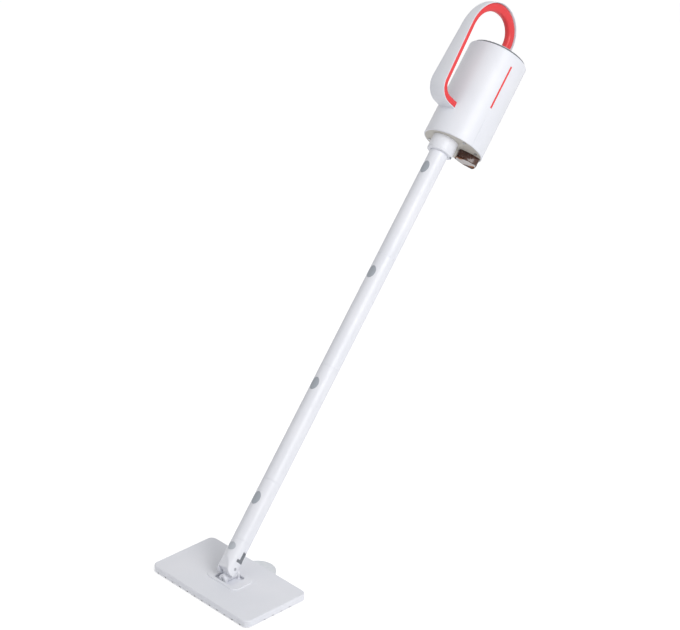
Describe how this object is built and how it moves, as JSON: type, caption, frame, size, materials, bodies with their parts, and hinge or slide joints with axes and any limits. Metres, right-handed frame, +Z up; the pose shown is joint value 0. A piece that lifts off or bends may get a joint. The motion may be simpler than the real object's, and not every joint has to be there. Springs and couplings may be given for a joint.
{
  "type": "steam mop",
  "caption": "Upright steam mop: flat rectangular head on a two-way joint, a wand of plug-together tubes, and a hand-held steam unit with a loop handle and pull-out tank.",
  "frame": {"origin": "centre of the mopping head's sole, on the floor", "axes": "+X along the head's long side, +Y to the head's back edge, towards which the wand leans at rest, +Z up"},
  "size_m": [0.3299, 0.9253, 0.8895],
  "materials": {
    "white_housing": "satin moulded shell",
    "grey_controls": "fine satin",
    "red_accent": "soft-touch coral red",
    "tinted_tank": "clear, tinted brown",
    "dark_plastic": "plain moulded",
    "steel": "plain",
    "cast_aluminium": "cast",
    "natural_plastic": "unfilled",
    "rubber_parts": "matt",
    "pad_cloth": "looped microfibre",
    "hook_tape": "hook tape",
    "circuit_board": "board"
  },
  "bodies": {
    "unit": {"base_screws": "steel", "body_base": "grey_controls", "body_shell": "white_housing", "boiler": "cast_aluminium", "chassis": "dark_plastic", "control_board": "circuit_board", "cord_gland": "rubber_parts", "handle_lining": "red_accent", "handle_screws": "steel", "handle_shell": "white_housing", "heater_terminals": "steel", "indicator_strip": "red_accent", "latch_spring_1": "steel", "latch_spring_2": "steel", "latch_spring_3": "steel", "latch_spring_4": "steel", "latch_spring_5": "steel", "lean_pin": "steel", "neck_fork": "white_housing", "outlet_collar": "white_housing", "outlet_nozzle": "dark_plastic", "pipe_seals": "rubber_parts", "power_switch": "dark_plastic", "pressure_hose": "rubber_parts", "pump": "dark_plastic", "pump_mounts": "rubber_parts", "steam_hose": "rubber_parts", "steam_pipe_1": "natural_plastic", "steam_pipe_2": "natural_plastic", "steam_pipe_3": "natural_plastic", "steam_pipe_4": "natural_plastic", "suction_hose": "rubber_parts", "tank_dock": "dark_plastic", "thermostat": "steel", "top_cap": "white_housing", "wand_tube_1": "white_housing", "wand_tube_2": "white_housing", "wand_tube_3": "white_housing", "wand_tube_4": "white_housing"},
    "head": {"mop_pad": "pad_cloth", "hook_strips": "hook_tape", "base_plate": "white_housing", "head_cover": "white_housing", "pod_cover": "white_housing", "steam_manifold": "dark_plastic", "joint_bracket": "white_housing", "tilt_pin": "steel", "head_screws": "steel"},
    "cross": {"joint_cross": "white_housing"},
    "latch_1": {"latch_button_1": "grey_controls"},
    "latch_2": {"latch_button_2": "grey_controls"},
    "latch_3": {"latch_button_3": "grey_controls"},
    "latch_4": {"latch_button_4": "grey_controls"},
    "latch_5": {"latch_button_5": "grey_controls"},
    "power": {"power_button": "grey_controls"},
    "tank": {"water_tank": "tinted_tank", "tank_lid": "dark_plastic"}
  },
  "joints": [
    {"name": "lean", "type": "hinge", "parent": "unit", "child": "cross", "pos_m": [-0.00305, 0.0015, 0.03622], "axis": [0.9828, 0, 0.1848], "range_deg": [-45.4, 29.6]},
    {"name": "tilt", "type": "hinge", "parent": "cross", "child": "head", "pos_m": [0, 0.0015, 0.02], "axis": [0, 1, 0], "range_deg": [-45.65, 24.35]},
    {"name": "latch_press_1", "type": "slide", "parent": "unit", "child": "latch_1", "axis": [0.1316, 0.7022, -0.6998], "range_m": [0, 0.003], "stiffness_N_per_m": 400, "deforming": ["latch_spring_1"]},
    {"name": "latch_press_2", "type": "slide", "parent": "unit", "child": "latch_2", "axis": [0.1316, 0.7022, -0.6998], "range_m": [0, 0.003], "stiffness_N_per_m": 400, "deforming": ["latch_spring_2"]},
    {"name": "latch_press_3", "type": "slide", "parent": "unit", "child": "latch_3", "axis": [0.1316, 0.7022, -0.6998], "range_m": [0, 0.003], "stiffness_N_per_m": 400, "deforming": ["latch_spring_3"]},
    {"name": "latch_press_4", "type": "slide", "parent": "unit", "child": "latch_4", "axis": [0.1316, 0.7022, -0.6998], "range_m": [0, 0.003], "stiffness_N_per_m": 400, "deforming": ["latch_spring_4"]},
    {"name": "latch_press_5", "type": "slide", "parent": "unit", "child": "latch_5", "axis": [0.1316, 0.7022, -0.6998], "range_m": [0, 0.003], "stiffness_N_per_m": 400, "deforming": ["latch_spring_5"]},
    {"name": "power_press", "type": "slide", "parent": "unit", "child": "power", "axis": [0.1298, -0.712, -0.6901], "range_m": [0, 0.002], "stiffness_N_per_m": 500},
    {"name": "tank_pull", "type": "slide", "parent": "unit", "child": "tank", "axis": [0.1298, -0.712, -0.6901], "range_m": [0, 0.14]}
  ]
}
